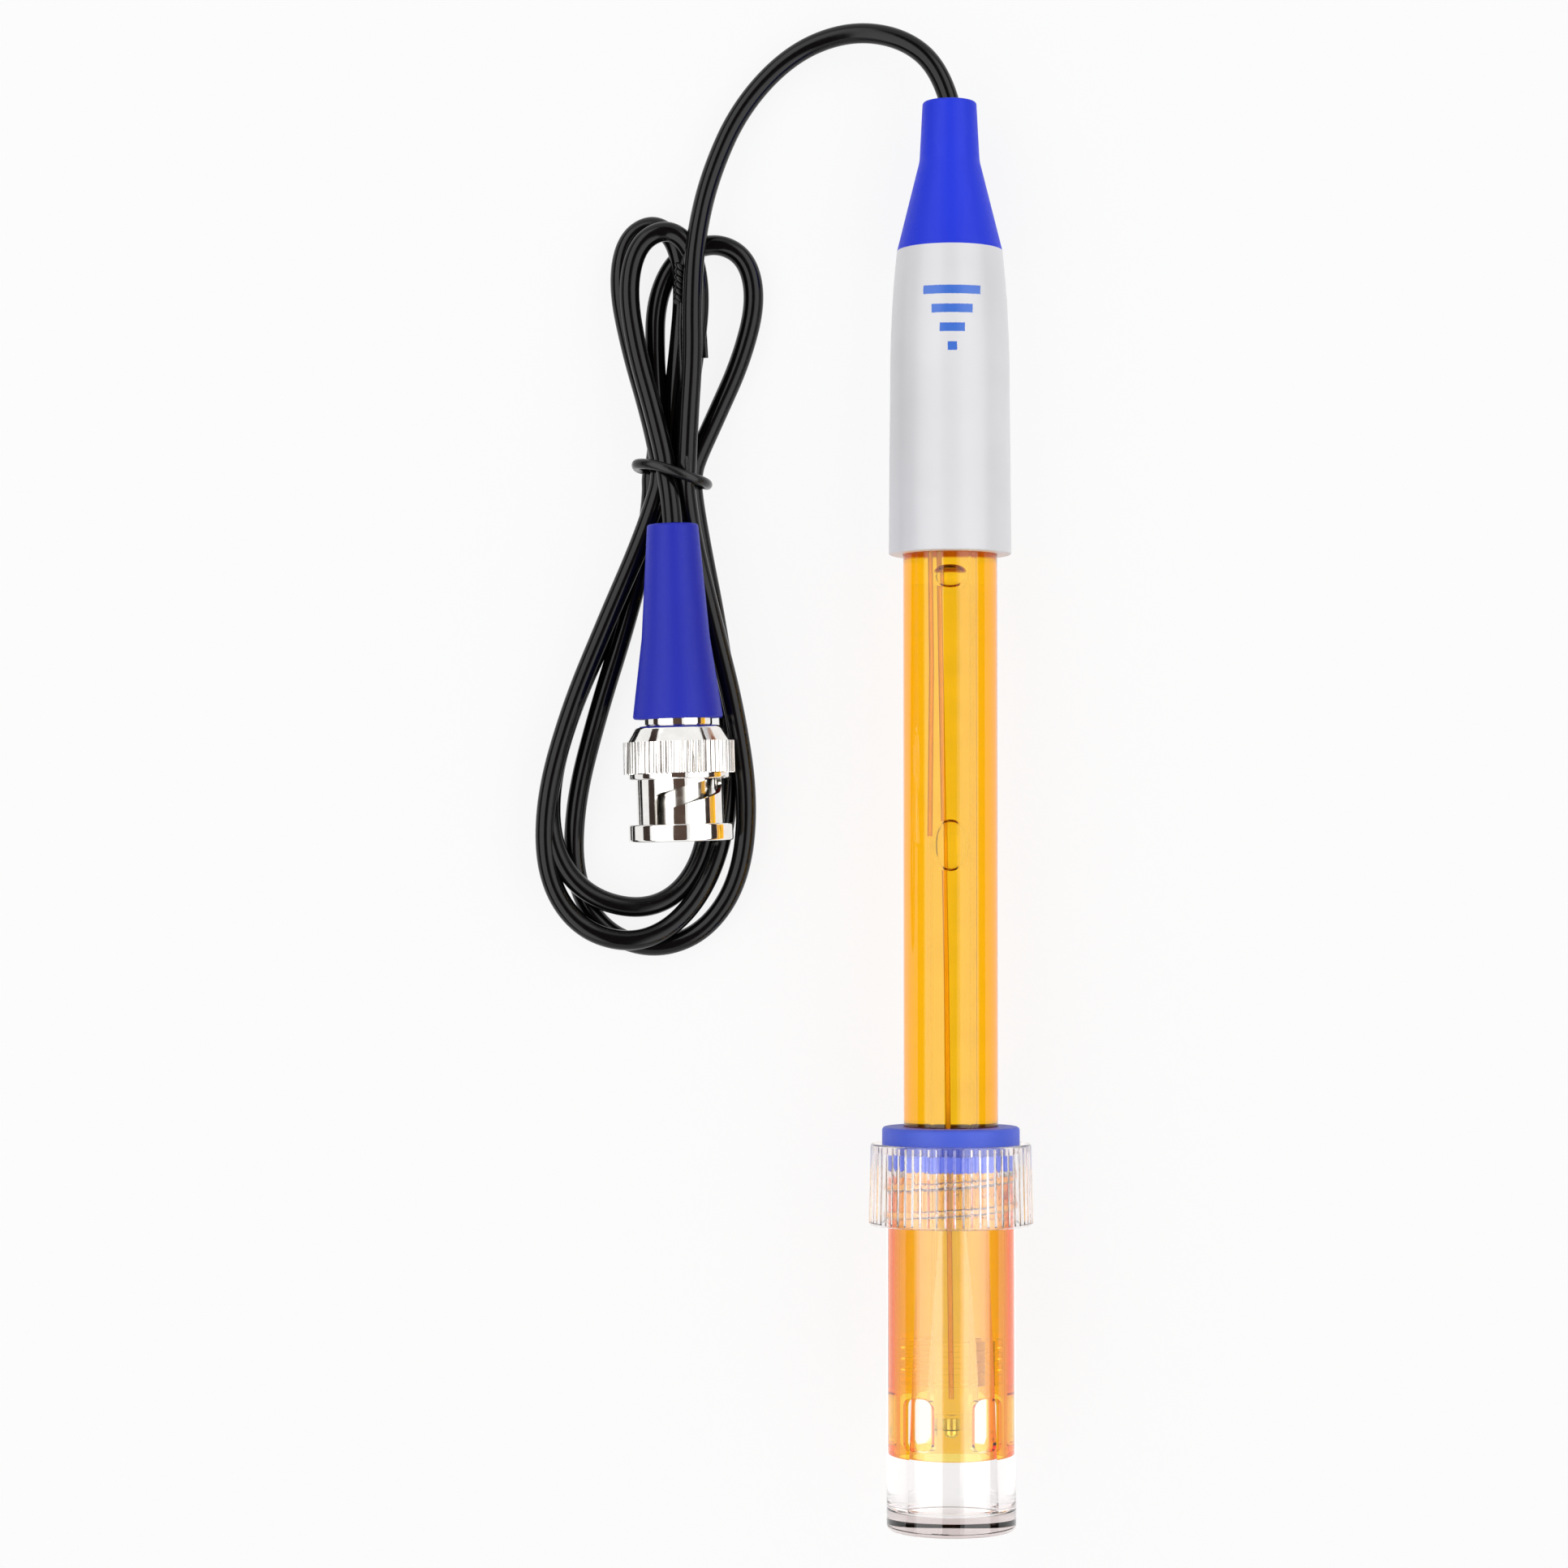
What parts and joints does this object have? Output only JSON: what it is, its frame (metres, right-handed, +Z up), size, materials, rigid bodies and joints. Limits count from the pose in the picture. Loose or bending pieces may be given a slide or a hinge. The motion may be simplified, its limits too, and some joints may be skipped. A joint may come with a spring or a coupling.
{
  "type": "orp probe",
  "caption": "Laboratory redox (pH type) electrode: amber body in a screw-top storage bottle, white head, blue boots, coiled black lead with bayonet plug.",
  "frame": {"origin": "centre of the probe's box on the bench, without the lead", "axes": "+Y along the probe towards its lead, +X across it, away from the coiled lead, +Z up"},
  "size_m": [0.0635, 0.1924, 0.0215],
  "materials": {
    "amber_body": "amber clear plastic, polished",
    "tip_plug": "amber plastic plug with ring grooves",
    "ceramic": "porous white ceramic",
    "glass": "clear drawn glass",
    "platinum": "bright platinum",
    "wire": "bare silver wire",
    "gel": "clear reference gel",
    "stopper": "dark rubber stopper",
    "shrink": "black shrink sleeve",
    "cap_white": "white moulded plastic, satin gloss",
    "boot_blue": "bright blue soft plastic, matt",
    "plug_blue": "dark blue soft plastic, matt",
    "lead": "black cable jacket, semi gloss",
    "tie": "black tie",
    "bottle": "clear moulded plastic",
    "nut_clear": "clear ribbed plastic",
    "seal_blue": "blue silicone rubber",
    "chrome": "bright nickel plate",
    "contact": "nickel plated brass",
    "gold": "gold plated pin",
    "insulator": "white fluoropolymer",
    "gasket": "red silicone gasket"
  },
  "bodies": {
    "root": {"body_tube": "amber_body", "cable_boot": "boot_blue", "cable_tie": "tie", "centre_pin": "gold", "ceramic_junction": "ceramic", "crimp_ferrule": "chrome", "gasket": "gasket", "gland_nut": "chrome", "glass_stem": "glass", "head_cap": "cap_white", "insulator": "insulator", "lead_end": "lead", "lead_hank": "lead", "lead_tube": "lead", "outer_contact": "contact", "platinum_tip": "platinum", "plug_body": "chrome", "plug_boot": "plug_blue", "plug_lead_end": "lead", "reference_gel": "gel", "reference_wire": "wire", "signal_wire": "wire", "splice_sleeve": "shrink", "stem_stopper": "stopper", "tip_plug": "tip_plug", "wave_spring": "contact"},
    "bottle": {"storage_bottle": "bottle"},
    "seal": {"seal_ring": "seal_blue"},
    "nut": {"bottle_nut": "nut_clear"},
    "washer": {"thrust_washer": "contact"},
    "coupling": {"coupling_nut": "chrome"}
  },
  "joints": [
    {"name": "bottle_pull", "type": "slide", "parent": "root", "child": "bottle", "axis": [0, -0.9995, 0.0314], "range_m": [0, 0.06]},
    {"name": "seal_lift", "type": "slide", "parent": "bottle", "child": "seal", "axis": [0, 0.9995, -0.0314], "range_m": [0, 0.0068]},
    {"name": "nut_turn", "type": "hinge", "parent": "seal", "child": "nut", "pos_m": [0, -0.04711, 0.01035], "axis": [0, 0.9995, -0.0314], "range_deg": [0, 720]},
    {"name": "coupling_push", "type": "slide", "parent": "root", "child": "washer", "axis": [0.0279, -0.9996, 0.007], "range_m": [0, 0.001], "stiffness_N_per_m": 500, "springref_m": -0.0005},
    {"name": "coupling_turn", "type": "hinge", "parent": "washer", "child": "coupling", "pos_m": [-0.03448, 0.00371, 0.00903], "axis": [0.0279, -0.9996, 0.007], "continuous": true}
  ],
  "couplings": [
    {"joint": "seal_lift", "follows": "nut_turn", "m_per_rad": 0.000541}
  ]
}
